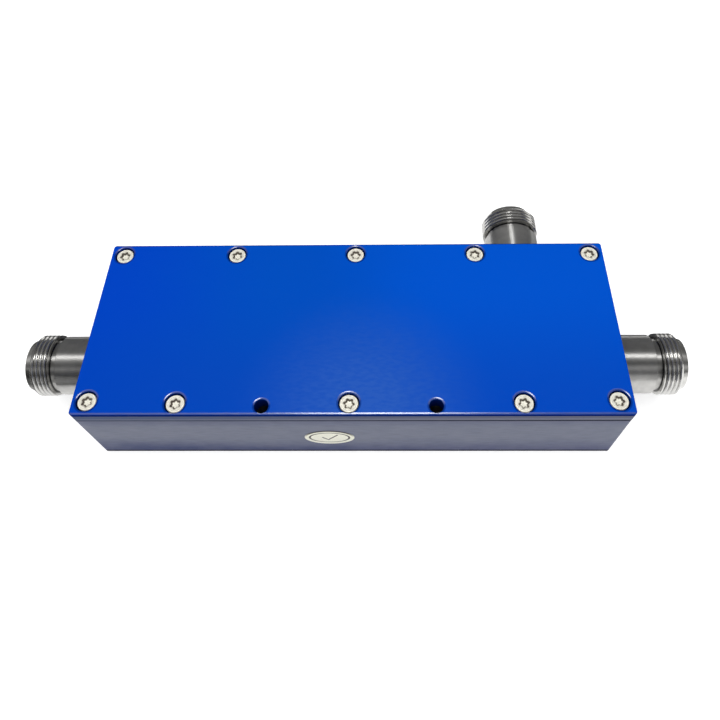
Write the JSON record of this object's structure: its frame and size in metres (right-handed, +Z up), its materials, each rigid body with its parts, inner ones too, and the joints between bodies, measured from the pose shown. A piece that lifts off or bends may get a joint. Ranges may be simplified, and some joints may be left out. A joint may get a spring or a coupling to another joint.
{
  "type": "directional coupler",
  "caption": "Flat rectangular radio frequency coupler box with a blue screwed cover, threaded coaxial ports at both ends and one at the back.",
  "frame": {"origin": "on the base plane, under the centre of the cover's outline", "axes": "+X from the input port to the output port along the main line, +Y towards the back wall with the coupled port, +Z up out of the cover"},
  "size_m": [0.1691, 0.0668, 0.026],
  "materials": {
    "housing_alloy": "satin",
    "cover_paint": "satin",
    "screw_steel": "satin",
    "port_nickel": "polished",
    "white_dielectric": "satin",
    "contact_gold": "polished",
    "line_silver": "satin",
    "chip_ceramic": "matte",
    "sticker_paper": "matte"
  },
  "bodies": {
    "root": {"housing": "housing_alloy", "cover": "cover_paint", "cover_screws": "screw_steel", "load_screws": "screw_steel", "input_port_shell": "port_nickel", "output_port_shell": "port_nickel", "coupled_port_shell": "port_nickel", "input_port_insulator": "white_dielectric", "output_port_insulator": "white_dielectric", "coupled_port_insulator": "white_dielectric", "input_port_contact": "contact_gold", "output_port_contact": "contact_gold", "coupled_port_contact": "contact_gold", "main_line": "line_silver", "coupled_line": "line_silver", "main_line_supports": "white_dielectric", "coupled_line_supports": "white_dielectric", "load_flange": "port_nickel", "load_chip": "chip_ceramic", "load_lead": "line_silver", "inspection_sticker": "sticker_paper"}
  },
  "joints": []
}
